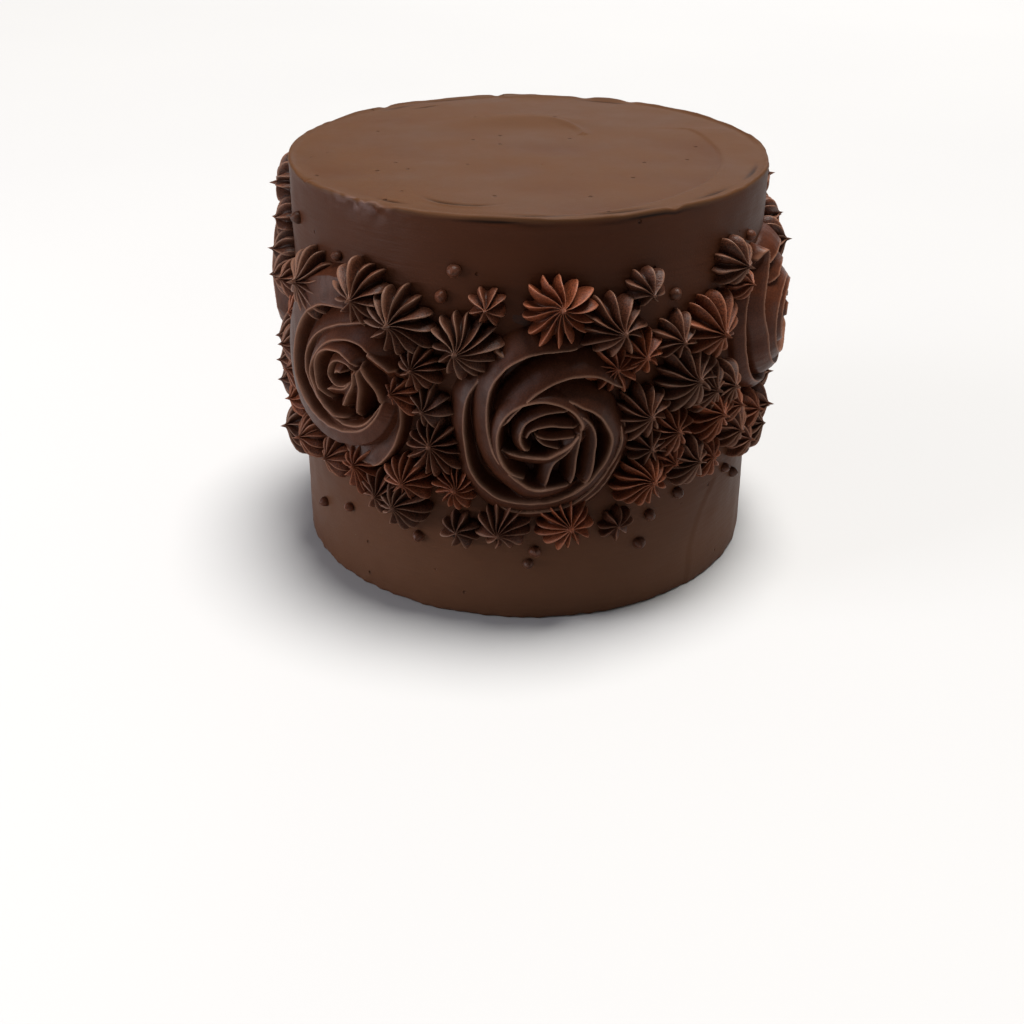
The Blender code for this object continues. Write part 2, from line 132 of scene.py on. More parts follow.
# Crests of the folds of three roses, in mm to the right of the rose's middle and up, from the edge in.
# Each has its height where it starts and ends, as shares of the rose's height, the width of its gentle
# face in mm, and the points it runs through. That face lies on its right-hand side, and on the left it
# drops steeply into a groove. Two more values may tell how many mm the gentle face drops, and its width
# at the end.
OPEN_ROSE = [
    (0.30, 0.45, 2.5, [(12, -27.5), (20, -22), (26, -13), (28, -5), (27.5, 3)]),
    (0.42, 0.72, 3.6, [
        (-14, -25.5), (-8, -27.5), (-1, -27.5), (9, -25.5), (17, -20), (22, -13), (25.5, -6),
        (26, 1),
    ]),
    (0.50, 0.95, 6.3, [
        (-19, 18), (-23, 11), (-24, 3), (-23.3, -6), (-21.5, -13.5), (-17.5, -18.5), (-12.6, -21.7),
        (-4.6, -23), (5.4, -22), (14, -17.5), (20, -10), (22, -4), (21.4, 0.5), (17.4, 7),
        (11.4, 10.8), (5, 13.8),
    ]),
    (0.66, 1.00, 5.6, [
        (11, 28), (3, 28), (-4.6, 26.5), (-11.3, 22), (-15.3, 15), (-16, 6), (-14.6, -3),
        (-11.3, -9.5), (-6, -14.5), (-1.3, -17), (8.7, -16.5),
    ]),
    (0.70, 1.00, 6.2, [(26, 14), (17, 19.5), (8.7, 20), (1.9, 17.5), (-5.7, 11.4), (-11.5, 4)]),
    (0.98, 0.98, 2.6, [
        (12, 1.5), (12.3, 5), (9.6, 9), (5, 12), (-0.5, 13), (-6, 11.5), (-10, 8.3), (-12.4, 3),
        (-12.4, -4), (-10, -10), (-5, -14),
    ]),
    (0.92, 0.78, 2.4, [(9, 10), (14.7, 5), (16.7, 0), (16.7, -6), (16, -13), (14, -17)]),
    (0.94, 0.70, 2.0, [(12.3, 3.7), (11.5, -2), (11, -7), (10.7, -13), (9.5, -17)]),
    (0.95, 0.72, 2.6, [(12, 2.4), (8, -4.5), (4, -8.8), (2.3, -15), (1, -18)]),
    (0.90, 0.98, 2.6, [(-11.8, -4), (-3.4, -5.8), (2.7, -5.8), (8.7, -2), (12, 2.4)]),
    (0.95, 0.90, 2.1, [(9, 9.5), (2.7, 9.3), (-3.3, 6.7), (-5.7, 3), (-5.7, -1), (-3.3, -4.5)]),
    (0.95, 0.88, 2.0, [(11.5, 4), (2.7, 4.7), (-2.5, 3.2), (-4.5, 0.2)]),
    (0.93, 0.84, 1.7, [(11, 1), (3, 0.2), (-1.7, 1.5)]),
    (0.86, 0.82, 1.6, [(6, -3.2), (1.5, -2), (-1.3, 0.6)]),
    (0.60, 0.50, 1.3, [(-14, 28.5), (-11.8, 26.2), (-9, 25.6)]),
]
CLOSED_ROSE = [
    (0.50, 0.36, 6.5, [
        (25, 4), (26.8, -3), (26.8, -9), (24.8, -15.3), (21.2, -21.3), (17.2, -25.6), (13, -27.5),
        (7.5, -26.8), (0, -26),
    ], 1.8, 5.0),
    (0.70, 0.92, 8.6, [
        (6, 26), (-3, 25.5), (-11, 21.5), (-18.5, 13), (-22.5, 4), (-22.5, -3), (-19.5, -8),
        (-14, -12), (-7, -14.5), (1, -15.5), (8.5, -14.5), (15.5, -11.5), (20.5, -6), (22, -1),
    ], 1.1, 3.4),
    (0.62, 0.98, 6.6, [
        (18, 24), (8.5, 22), (0.5, 19), (-6.5, 15), (-12, 9.5), (-14.5, 4.5), (-14, 0),
        (-11.5, -3.5), (-6.5, -7.5), (-1, -10.3), (5, -12), (10, -12), (15.5, -10), (19, -6.5),
        (21.5, -2),
    ]),
    (0.80, 0.99, 6.0, [
        (20, 12), (16.5, 16), (12, 17.5), (5.5, 16.5), (-0.5, 13.5), (-5.5, 8.5), (-8.5, 3.5),
        (-8.5, -0.5), (-5.5, -5), (-2, -8), (2.5, -10), (7, -10.5),
    ]),
    (0.96, 0.93, 2.6, [
        (13, 9), (10.5, 11.5), (7, 13), (2, 12.5), (-2.5, 10), (-5, 6.5), (-5.5, 2.5), (-5, -1.5),
        (-1.5, -6),
    ]),
    (0.86, 0.80, 4.0, [(17, 15), (21.5, 12.5), (26, 10)]),
    (0.92, 0.82, 3.4, [(14.5, 10.5), (18, 6), (21, 2.5), (22, -2)]),
    (0.96, 0.86, 3.0, [(13.5, 8.5), (14.3, 4), (14, 0), (12.3, -8.5)]),
    (0.96, 0.86, 3.0, [(12.5, 8), (12, 3.5), (9, -2), (6, -7)]),
    (0.86, 0.96, 2.2, [(-1, -2.5), (2.5, -1), (8, 0.5), (11.5, 4)]),
    (0.93, 0.93, 2.2, [
        (12.5, 7), (10.5, 9.3), (7.5, 10), (4, 9), (2, 6.5), (1.5, 3.5), (4, 1.3), (8, 1.5),
        (11, 4),
    ]),
    (1.00, 1.00, 2.4, [(8, 6.5), (6.3, 6.7), (5.2, 5.6)]),
]
WIDE_ROSE = [
    (0.40, 0.50, 2.6, [
        (-24.5, 21), (-27.2, 15), (-28, 8), (-26, -3), (-20, -13.5), (-9.5, -19.5), (1, -22),
        (10, -21), (17, -17),
    ]),
    (0.34, 0.62, 4.4, [
        (12, -19.5), (20, -13.5), (24.5, -4), (25, 6), (22, 15), (15.5, 21.5), (7, 25), (-3, 25.5),
        (-12, 22.5),
    ]),
    (0.50, 0.76, 3.6, [
        (21.5, -8), (22.5, 1), (19.5, 9.5), (13.5, 16), (5, 19.5), (-4, 19.3), (-11, 16),
    ]),
    (0.52, 0.90, 3.6, [
        (-21.5, 26.5), (-19.3, 28.8), (-17, 29), (-16.6, 26.5), (-17.8, 22.5), (-18.8, 19),
        (-20.4, 13), (-19.6, 7.5), (-16, 1), (-12.5, -7), (-6, -13.5), (2, -16), (11, -14.5),
        (18, -8), (20, 0),
    ]),
    (0.84, 0.98, 4.4, [
        (17, 7), (11, 12), (3, 14), (-4, 14), (-10, 10.5), (-13, 4.5), (-12.5, -1.5), (-9, -7),
        (-3, -10.5), (4, -11), (11, -7), (14, -1),
    ]),
    (0.96, 0.95, 3.0, [
        (13, 6), (9, 11), (3, 12.5), (-3, 10.5), (-7, 6), (-7.5, 1), (-5, -4), (0, -6.5),
    ]),
    (0.94, 0.88, 2.4, [(9, 4), (6.5, 7.5), (2, 8.5), (-2, 6), (-3, 2), (-1, -2)]),
    (0.90, 0.80, 3.0, [(12, 4), (13, -2), (11, -7)]),
    (0.92, 0.84, 3.0, [(9.5, 2.5), (8.5, -3), (5.5, -8)]),
    (0.98, 0.98, 2.2, [(6, 3), (3.5, 4.5), (1, 3), (1.5, 0.5)]),
]
# Which pattern each rose has, the radius in mm that the pattern was drawn for, how far it is turned in
# degrees, and how red its buttercream is
ROSE_PATTERNS = {
    "rose_front": (OPEN_ROSE, 30.0, 0, 0.05),
    "rose_right": (WIDE_ROSE, 26.0, 0, 0.30),
    "rose_back_right": (OPEN_ROSE, 30.0, 28, 0.30),
    "rose_back": (CLOSED_ROSE, 28.5, 34, 0.10),
    "rose_back_left": (OPEN_ROSE, 30.0, -55, 0.20),
    "rose_left": (CLOSED_ROSE, 28.5, 0, 0.18),
}

# Look of the piped buttercream: how it was put on, roughness, specular level, how grainy it is
ROSE_SKIN = ("piped smooth", 0.42, 0.12, 0.20)
STAR_SKIN = ("piped in ridges", 0.45, 0.20, 0.46)
BEAD_SKIN = ("dotted on", 0.42, 0.20, 0.30)
# Colours that no slider sets: painted light bounced up onto the foot of the side, a painted sheen on the
# dented patch, and painted highlights on the crests of ridges
FOOT_PAINTED_BOUNCE_COLOUR = "#523626"
PAINTED_SHEEN_COLOUR = "#64504C"
DARK_RIDGE_HIGHLIGHT_COLOUR = "#7E6251"
RED_RIDGE_HIGHLIGHT_COLOUR = "#90604A"

# Points once round the smooth icing
ICING_COLUMNS = 448
# Nicks in the lip of the rim: angle and half width in degrees
RIM_NICKS = [(-137.5, 1.6), (164, 2.4), (151.8, 2.0), (-60, 1.2), (33, 1.5), (-171, 1.3)]
# Slits in the top near the rim: angle, half length in degrees, distance from the edge in metres
RIM_SLITS = [
    (21, 7, 0.0038), (3, 6, 0.0036), (48, 5, 0.0038), (-33, 3, 0.0050), (70, 6, 0.0038),
    (158, 6, 0.0038), (-156, 7, 0.0030), (-140, 4, 0.0050), (-147, 3, 0.0100),
]
# Creases under the rim: angle and half length in degrees
CREASES = [(-7, 9), (27, 11)]
# The flap of icing folded over the top: angle and half width in degrees, and distance from the axis
FLAP_ANGLE = -18
FLAP_HALF = 6.5
FLAP_RADIUS = 0.0704
SLIT_DEPTH = 0.0006
CREASE_DEPTH = 0.0003

# Grid of a rose: points once round, and rows from its middle to past its edge, as shares of its radius
ROSE_COLUMNS = 540
ROSE_ROWS = 168
ROSE_REACH = 1.36
# Each rose's grid is this many mm wide from its middle, before it is scaled to the rose's own radius
ROSE_GRID = 30
# Points that are this far under the icing can't be seen
SUNK = -0.0012

# A star's outline from its foot to its tip: share of the radius, share of the height, depth of grooves
STAR_PROFILE = [
    (0.86, -0.30, 0.28), (0.94, 0.00, 0.31), (0.99, 0.15, 0.34), (1.00, 0.31, 0.37),
    (0.975, 0.46, 0.40), (0.915, 0.60, 0.43), (0.82, 0.72, 0.46), (0.70, 0.81, 0.48),
    (0.56, 0.88, 0.48), (0.42, 0.93, 0.46), (0.29, 0.965, 0.38), (0.18, 1.00, 0.26),
    (0.08, 1.06, 0.10),
]
# Lines of one ridge, from its crest to the next one: share of the way, how deep in the groove the line
# lies, and how much painted highlight it has, below 0 for painted shade. A narrow crest stands over a
# broad hollow flute.
RIDGE_LINES = [
    (0.0, 0.0, 1.0), (0.05, 0.13, 0.35), (0.12, 0.25, 0.0), (0.23, 0.40, 0.0), (0.35, 0.58, -0.05),
    (0.47, 0.78, -0.12), (0.59, 0.95, -0.25), (0.70, 1.0, -0.30), (0.81, 0.88, -0.20),
    (0.90, 0.52, 0.0), (0.955, 0.25, 0.30),
]
# Least and most height of a star's drawn tip, in heights of the star
STAR_TIPS = (1.14, 1.38)
STAR_VARIANTS = 3
STAR_UNEVENNESS = 0.0006
# How red a star of the unseen back may be
BACK_REDS = (0.1, 0.1, 0.2, 0.3, 0.7, 0.9)

# A bead's outline from its foot to its tip, in bead radii: distance from its middle, height
BEAD_PROFILE = [
    (0.80, -0.6), (1.0, -0.1), (0.97, 0.25), (0.82, 0.6), (0.55, 0.87), (0.25, 1.02), (0.1, 1.12),
]
BEAD_COLUMNS = 20
BEAD_VARIANTS = 3
BEAD_LEAN = 0.12
BEAD_UNEVENNESS = 0.0003

# How far a star's foot and a bead's middle stand out from the icing, in metres
STAR_FOOT = -0.0002
BEAD_MIDDLE = 0.0006

# Soft windows round the cake: name, place, aim, width and height, power, colour
WINDOWS = [
    ("left window", (-1.15, -0.32, 0.15), (0, 0, 0.07), (0.6, 0.28), 7.5, (0.98, 0.95, 0.98)),
    ("back window", (0.35, 1.5, 0.75), (0, 0, 0.13), (1.4, 0.8), 3.2, (0.96, 0.97, 1.0)),
    ("high left window", (-0.8, -0.35, 0.75), (0, 0, 0.09), (0.35, 0.35), 2.6, (0.88, 0.89, 1.0)),
    ("right window", (1.15, -0.30, 0.09), (0, 0, 0.03), (0.6, 0.16), 1.6, (1.0, 0.97, 0.92)),
]
# The camera: lens in mm, place, and angles in radians
LENS = 50.92
CAMERA_PLACE = (0, -0.4865, 0.2602)
PITCH = math.radians(28.43)
YAW = -0.00979
ROLL = 0.0068
FLOOR_REACH = 4.0


def linear(hex_colour):
    """An sRGB hex value as linear light."""
    channels = []
    for at in (1, 3, 5):
        value = int(hex_colour[at : at + 2], 16) / 255
        channels.append(value / 12.92 if value <= 0.04045 else ((value + 0.055) / 1.055) ** 2.4)
    return tuple(channels)


def length_setting(name, description, default):
    """A length in the sidebar, in metres."""
    return FloatProperty(name=name, description=description, default=default, unit="LENGTH")


def colour_setting(name, description, hex_colour):
    """A colour in the sidebar."""
    return FloatVectorProperty(
        name=name, description=description, default=linear(hex_colour), size=3, subtype="COLOR",
        min=0, max=1,
    )


class CakeIcing(PropertyGroup):
    """Sizes and colours of the smooth icing"""

    lip: length_setting("Rim lip", "How far the scraped rim stands over the top", 0.0006)
    wave: length_setting("Side wave", "Unevenness of the scraped side", 0.00035)
    colour: colour_setting("Side", "Colour of the scraped buttercream on the side", "#3E2011")
    # The top's colour is paler than the side's: a painted sheen and light from above
    top_colour_with_painted_sheen: colour_setting("Top", "Colour of the scraped buttercream on the top", "#4B301D")


class CakePiping(PropertyGroup):
    """Sizes and colours of what is piped on the side"""

    rose_height: length_setting("Rose height", "How far a rose stands out", 0.0108)
    star_least: length_setting(
        "Least star height", "Part of a star's height that is the same for all", 0.0030
    )
    star_share: FloatProperty(
        name="Star height share", description="Part of a star's height that grows with its width",
        default=0.29, subtype="FACTOR",
    )
    bead_radius: length_setting("Bead radius", "Radius of a bead of buttercream", 0.0019)
    rose_colour: colour_setting("Roses", "Colour of the roses", "#331A0F")
    dark_colour: colour_setting("Dark stars", "Colour of the darkest stars", "#3F2317")
    red_colour: colour_setting("Red stars", "Colour of the reddest stars", "#61301B")
    seed: IntProperty(name="Seed", description="Seed of the small differences", default=5, min=0)


def ripple(points, size, seed, count=14):
    """Soft unevenness from -1 to 1 at points (N, 3), whose waves are about size metres long."""
    draw = np.random.default_rng(seed)
    total = np.zeros(len(points))
    for _ in range(count):
        way = draw.normal(size=3)
        way *= 2 * math.pi / size * draw.uniform(0.6, 1.5) / np.linalg.norm(way)
        total += np.sin(points @ way + draw.uniform(0, 2 * math.pi))
    return total / math.sqrt(count / 2) / 2


def bump_at(value, middle, width):
    """A smooth bump of height 1 round a value."""
    return np.exp(-(((value - middle) / width) ** 2))


def on_side(angle, height, across, up, out):
    """Points across and up from a place on the cake's side, and out from its surface."""
    turn = math.radians(angle) + np.asarray(across) / BAND_RADIUS
    radius = CAKE_RADIUS + np.asarray(out)
    return np.stack([radius * np.sin(turn), -radius * np.cos(turn), height + np.asarray(up)], axis=-1)


def new_object(name, data):
    obj = bpy.data.objects.new(name, data)
    bpy.context.scene.collection.objects.link(obj)
    return obj


def mesh_object(name, points, faces, smooth=True):
    mesh = bpy.data.meshes.new(name)
    mesh.from_pydata(np.asarray(points).tolist(), [], faces)
    mesh.validate()
    if smooth:
        mesh.shade_smooth()
    return new_object(name, mesh)


def closed_faces(rows, columns, first, last):
    """Faces of a closed piece made of rows of points that each run once round.

    The first row is closed to the point numbered first, and the last row to the point numbered last.
    """
    faces = []
    for low in range(0, (rows - 1) * columns, columns):
        high = low + columns
        for column in range(columns):
            after = (column + 1) % columns
            faces.append((low + column, low + after, high + after, high + column))
    end = (rows - 1) * columns
    for column in range(columns):
        after = (column + 1) % columns
        faces.append((first, after, column))
        faces.append((end + column, end + after, last))
    return faces


def add_attribute(obj, name, values):
    attribute = obj.data.attributes.new(name, "FLOAT", "POINT")
    attribute.data.foreach_set("value", np.asarray(values, dtype=np.float32))


def add_node(tree, kind, inputs=None, **settings):
    """Adds a node to a tree, links its inputs or sets them, and sets its other sockets and properties."""
    node = tree.nodes.new(kind)
    for key, value in settings.items():
        if key in node.inputs:
            node.inputs[key].default_value = value
        elif hasattr(node, key):
            setattr(node, key, value)
        else:
            node.inputs[key.replace("_", " ")].default_value = value
    for key, source in (inputs or {}).items():
        if isinstance(source, bpy.types.NodeSocket):
            tree.links.new(source, node.inputs[key])
        else:
            node.inputs[key].default_value = source
    return node


def new_material(name, roughness, specular, subsurface=0.0):
    """A material of fat, sugar or paint: light goes a little way in, and red goes the furthest."""
    material = bpy.data.materials.new(name)
    material.use_nodes = True
    tree = material.node_tree
    shader = tree.nodes["Principled BSDF"]
    for socket, value in (
        ("Roughness", roughness),
        ("IOR", 1.46),
        ("Specular IOR Level", specular),
        ("Subsurface Weight", subsurface),
        ("Subsurface Radius", (1.0, 0.45, 0.25)),
        ("Subsurface Scale", 0.0015),
    ):
        shader.inputs[socket].default_value = value
    return material, tree, shader


def scraped_buttercream(side_colour, top_colour_with_painted_sheen):
    """Chocolate buttercream, scraped smooth with a cold steel scraper.

    Fat and sugar give it a soft satin gloss, and the scraper leaves fine level lines, small air pits
    and slightly paler smears. The top is painted paler than the side, as a painted sheen and light from
    above, and its foot is painted paler, as painted light bounced up from below.
    """
    material, tree, shader = new_material("chocolate buttercream, scraped", 0.5, 0.08, subsurface=0.05)
    place = add_node(tree, "ShaderNodeTexCoord").outputs["Object"]
    height = add_node(tree, "ShaderNodeSeparateXYZ", {"Vector": place}).outputs["Z"]
    painted_sheen = add_node(tree, "ShaderNodeAttribute", attribute_name="painted_sheen").outputs["Fac"]
    marks = add_node(tree, "ShaderNodeAttribute", attribute_name="marks").outputs["Fac"]
    # Smears about 26 mm long, level lines 1.2 mm apart and cells of 5 mm, some of which have a pit. Sugar
    # grains are finer than 0.6 mm, and are drawn this coarse to show.
    smears = add_node(tree, "ShaderNodeTexNoise", {"Vector": place}, Scale=38.0, Detail=6.0, Roughness=0.6)
    smears = smears.outputs["Fac"]
    level = add_node(tree, "ShaderNodeMapping", {"Vector": place}, Scale=(1.0, 1.0, 14.0))
    lines = add_node(tree, "ShaderNodeTexNoise", {"Vector": level.outputs[0]}, Scale=60.0, Detail=5.0)
    grain = add_node(tree, "ShaderNodeTexNoise", {"Vector": place}, Scale=1600.0, Detail=3.0)
    cells = add_node(tree, "ShaderNodeTexVoronoi", {"Vector": place}, Scale=210.0, Randomness=1.0)

    # The foot of the side is painted paler, as painted light bounced up from below
    foot = add_node(
        tree, "ShaderNodeMapRange", {"Value": height}, From_Min=0.008, From_Max=0.060, To_Min=1.0,
        To_Max=0.0, interpolation_type="SMOOTHSTEP",
    )
    colours = {"Factor": foot.outputs[0], 6: (*side_colour, 1), 7: (*linear(FOOT_PAINTED_BOUNCE_COLOUR), 1)}
    side = add_node(tree, "ShaderNodeMix", colours, data_type="RGBA")
    # The top is painted paler than the side, as a painted sheen and light from above
    on_top = add_node(
        tree, "ShaderNodeMapRange", {"Value": height}, From_Min=CAKE_HEIGHT - 0.0016,
        From_Max=CAKE_HEIGHT - 0.0003,
    )
    colours = {"Factor": on_top.outputs[0], 6: side.outputs[2], 7: (*top_colour_with_painted_sheen, 1)}
    base = add_node(tree, "ShaderNodeMix", colours, data_type="RGBA")
    # A painted sheen, pale and greyish, where the rim is dented
    colours = {"Factor": painted_sheen, 6: base.outputs[2], 7: (*linear(PAINTED_SHEEN_COLOUR), 1)}
    sheened = add_node(tree, "ShaderNodeMix", colours, data_type="RGBA")
    smeared = add_node(
        tree, "ShaderNodeMapRange", {"Value": smears}, From_Min=0.3, From_Max=0.7, To_Min=0.94, To_Max=1.07
    )
    # Slits and creases get painted shade, nearly black inside
    shade = add_node(tree, "ShaderNodeMapRange", {"Value": marks}, To_Min=1.0, To_Max=0.10)
    factors = {0: smeared.outputs[0], 1: shade.outputs[0]}
    light = add_node(tree, "ShaderNodeMath", factors, operation="MULTIPLY")
    factors = {0: sheened.outputs[2], "Scale": light.outputs[0]}
    tint = add_node(tree, "ShaderNodeVectorMath", factors, operation="SCALE")
    tree.links.new(tint.outputs[0], shader.inputs["Base Color"])
    gloss = add_node(
        tree, "ShaderNodeMapRange", {"Value": smears}, From_Min=0.3, From_Max=0.7, To_Min=0.44, To_Max=0.60
    )
    tree.links.new(gloss.outputs[0], shader.inputs["Roughness"])

    hole = add_node(
        tree, "ShaderNodeMapRange", {"Value": cells.outputs["Distance"]}, From_Min=0.04, From_Max=0.15,
        To_Min=1.0, To_Max=0.0,
    )
    chance = add_node(tree, "ShaderNodeSeparateColor", {"Color": cells.outputs["Color"]})
    few = add_node(tree, "ShaderNodeMath", {0: chance.outputs[0], 1: 0.87}, operation="GREATER_THAN")
    pits = add_node(tree, "ShaderNodeMath", {0: hole.outputs[0], 1: few.outputs[0]}, operation="MULTIPLY")
    bumps = {"Height": lines.outputs["Fac"]}
    lined = add_node(tree, "ShaderNodeBump", bumps, Strength=0.35, Distance=0.0004)
    bumps = {"Height": grain.outputs["Fac"], "Normal": lined.outputs[0]}
    grainy = add_node(tree, "ShaderNodeBump", bumps, Strength=0.25, Distance=0.0002)
    bumps = {"Height": pits.outputs[0], "Normal": grainy.outputs[0]}
    pitted = add_node(tree, "ShaderNodeBump", bumps, Strength=1.0, Distance=0.0012, invert=True)
    tree.links.new(pitted.outputs[0], shader.inputs["Normal"])
    return material


def piped_buttercream(dark, red, skin):
    """Chocolate buttercream pressed through a metal tip.

    The tip drags it into a close satin skin with fine lines and a sugary grain. Red tells how much red
    brown is in it, and crest how much painted highlight, paler and greyer, lies on the ridges' crests;
    below 0 it gives painted shade in the grooves.
    """
    put_on, roughness, specular, grainy = skin
    material, tree, shader = new_material("chocolate buttercream, " + put_on, roughness, specular)
    place = add_node(tree, "ShaderNodeTexCoord").outputs["Object"]
    redness = add_node(tree, "ShaderNodeAttribute", attribute_name="red").outputs["Fac"]
    crest = add_node(tree, "ShaderNodeAttribute", attribute_name="crest").outputs["Fac"]
    # Patches of about 4 mm. Sugar grains are finer than 0.5 mm, and are drawn this coarse to show.
    mottle = add_node(tree, "ShaderNodeTexNoise", {"Vector": place}, Scale=260.0, Detail=4.0).outputs["Fac"]
    grain = add_node(tree, "ShaderNodeTexNoise", {"Vector": place}, Scale=2100.0, Detail=3.0).outputs["Fac"]

    mix = add_node(
        tree, "ShaderNodeMix", {"Factor": redness, 6: (*dark, 1), 7: (*red, 1)}, data_type="RGBA"
    )
    # Painted light: crests up to 2.4 times lighter, and grooves below 0 painted shade down to 0.2
    light = add_node(
        tree, "ShaderNodeMapRange", {"Value": crest}, From_Min=-0.5, From_Max=1.0, To_Min=0.20, To_Max=2.4
    )
    patchy = add_node(
        tree, "ShaderNodeMapRange", {"Value": mottle}, From_Min=0.3, From_Max=0.7, To_Min=0.85, To_Max=1.15
    )
    sugary = add_node(
        tree, "ShaderNodeMapRange", {"Value": grain}, From_Min=0.35, From_Max=0.65, To_Min=1 - grainy,
        To_Max=1 + grainy,
    )
    factors = {0: sugary.outputs[0], 1: patchy.outputs[0]}
    uneven = add_node(tree, "ShaderNodeMath", factors, operation="MULTIPLY")
    factors = {0: light.outputs[0], 1: uneven.outputs[0]}
    lit = add_node(tree, "ShaderNodeMath", factors, operation="MULTIPLY")
    factors = {0: mix.outputs[2], "Scale": lit.outputs[0]}
    tint = add_node(tree, "ShaderNodeVectorMath", factors, operation="SCALE")
    # Painted highlight colours, paler and greyer, mixed in on the crests
    colours = {"Factor": redness, 6: (*linear(DARK_RIDGE_HIGHLIGHT_COLOUR), 1), 7: (*linear(RED_RIDGE_HIGHLIGHT_COLOUR), 1)}
    pale = add_node(tree, "ShaderNodeMix", colours, data_type="RGBA")
    share = add_node(tree, "ShaderNodeMath", {0: crest, 1: 0.70}, operation="MULTIPLY")
    colours = {"Factor": share.outputs[0], 6: tint.outputs[0], 7: pale.outputs[2]}
    highlighted_crests = add_node(tree, "ShaderNodeMix", colours, data_type="RGBA")
    tree.links.new(highlighted_crests.outputs[2], shader.inputs["Base Color"])
    soft = add_node(tree, "ShaderNodeBump", {"Height": mottle}, Strength=0.25, Distance=0.0003)
    bumps = {"Height": grain, "Normal": soft.outputs[0]}
    fine = add_node(tree, "ShaderNodeBump", bumps, Strength=grainy, Distance=0.0004)
    tree.links.new(fine.outputs[0], shader.inputs["Normal"])
    return material


def finish_piece(obj, material, nodes):
    obj.data.materials.clear()
    obj.data.materials.append(material)
    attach(obj, "root")
    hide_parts(*nodes)


def icing_profile():
    """The cake's outline from under its foot, up its side and in over its top: radius and height."""
    radius, height = CAKE_RADIUS, CAKE_HEIGHT
    profile = [(r * radius, 0.0) for r in (0.3, 0.7, 0.9, 0.97)]
    profile += [(radius - 0.0010, 0.0), (radius - 0.0002, 0.0004)]
    profile += [(radius, z) for z in np.linspace(0.0012, height - 0.0030, 104)]
    profile += [(radius, height - 0.0022), (radius, height - 0.0015), (radius, height - 0.0009)]
    profile += [(radius - 0.0001, height - 0.0004), (radius - 0.0004, height - 0.0001)]
    profile += [(radius - 0.0008, height), (radius - 0.0013, height - 0.0001)]
    inward = [radius - r for r in (0.0020, 0.0028, 0.0038, 0.0050)]
    inward += list(np.linspace(radius - 0.0060, 0.0620, 36))
    inward += list(np.linspace(0.0608, 0.0012, 52))
    return np.array(profile + [(r, height - 0.0002) for r in inward])


def foot_relief(flat, r):
    """How far the crumbly bottom edge stands out, in metres."""
    low = bump_at(flat[:, 2], 0.0, 0.0014) * (r > CAKE_RADIUS * 0.95)
    return low * (0.00035 * ripple(flat, 0.0045, 4) + 0.0003 * ripple(flat, 0.014, 14) - 0.0002)


def side_relief(icing, flat, degrees):
    """How far the scraped side stands out, in metres, with its seam, folded edge and dents."""
    height = CAKE_HEIGHT
    z = flat[:, 2]
    z_mm = z * 1000
    level = flat * np.array([0.5, 0.5, 6.0])
    out = icing.wave * ripple(flat, 0.070, 1) + 0.00005 * ripple(level, 0.030, 2)
    out += 0.00007 * ripple(flat, 0.011, 3)
    # A curved seam low on the right, where the scraper was lifted
    seam = 44.8 + 5.7 * (np.clip(z_mm - 12, 0, None) / 21) ** 2
    past = degrees - seam
    out += 0.00028 * np.tanh(past / 0.5) * np.exp(-np.abs(past) / 1.8) * (z_mm < 38)
    # A thin level scratch over the front rose
    scratch = bump_at(z_mm, 114.0 - 0.26 * (degrees - 13.5), 0.35)
    out -= 0.00022 * scratch * bump_at(degrees, 17.5, 3.6)
    # The scraped edge under the rim is folded at the front, and dented on the left of it
    fold = height - 0.0026 - 0.0007 * np.sin(np.radians(degrees) * 7 + 0.8)
    out += 0.00055 * bump_at(z, fold, 0.0008) * bump_at(degrees, -4, 24)
    dented = bump_at(degrees, -36.5, 8) * bump_at(z, height - 0.0022, 0.0034)
    out -= 0.0014 * dented * (0.55 + 0.6 * ripple(flat, 0.006, 11) + 0.3 * ripple(flat, 0.0030, 12))
    return out


def lip_height(icing, flat, r, degrees):
    """Height of the thin uneven lip that the scraper left on the rim, in metres."""
    lip = icing.lip * (0.55 + 0.55 * ripple(flat, 0.045, 5) + 0.25 * ripple(flat, 0.009, 6))
    for nick, width in RIM_NICKS:
        lip -= icing.lip * 1.3 * bump_at(degrees, nick, width)
    # Where the rim was dented its lip is broken
    lip -= 0.0009 * bump_at(degrees, -37, 7) * (0.6 + 0.7 * ripple(flat, 0.005, 16))
    return lip * bump_at(r, CAKE_RADIUS - 0.0006, 0.0008) * (flat[:, 2] > CAKE_HEIGHT - 0.003)


def top_relief(flat):
    """Height of the marks on the nearly level top, in metres."""
    x, y, z = flat.T
    # A low mound is left at the back, with a crisp edge on its right
    mound = np.exp(-((x / 0.023) ** 2) - ((y - 0.039 + 6 * x * x) / 0.0075) ** 2)
    up = 0.0019 * mound
    crisp = bump_at(np.hypot(x + 0.002, (y - 0.020) * 1.1), 0.021, 0.0014)
    up += 0.0007 * crisp * bump_at(x, 0.016, 0.010) * (y > 0.02)
    # The spatula's last sweep left a curved edge, inside the rim on the right and at the front
    sweep = np.hypot(x + 0.010, y + 0.004) - 0.074
    shown = np.clip((x + 0.9 * np.abs(y) - 0.005) / 0.030, 0, 1) * (y < 0.030)
    up += 0.00032 * np.tanh(sweep / 0.0007) * np.exp(-np.abs(sweep) / 0.006) * shown
    smear = np.stack([x * 0.35 + y * 0.25, y, z], axis=-1)
    return up + 0.00016 * ripple(smear, 0.020, 7) + 0.00028 * ripple(flat, 0.050, 8)


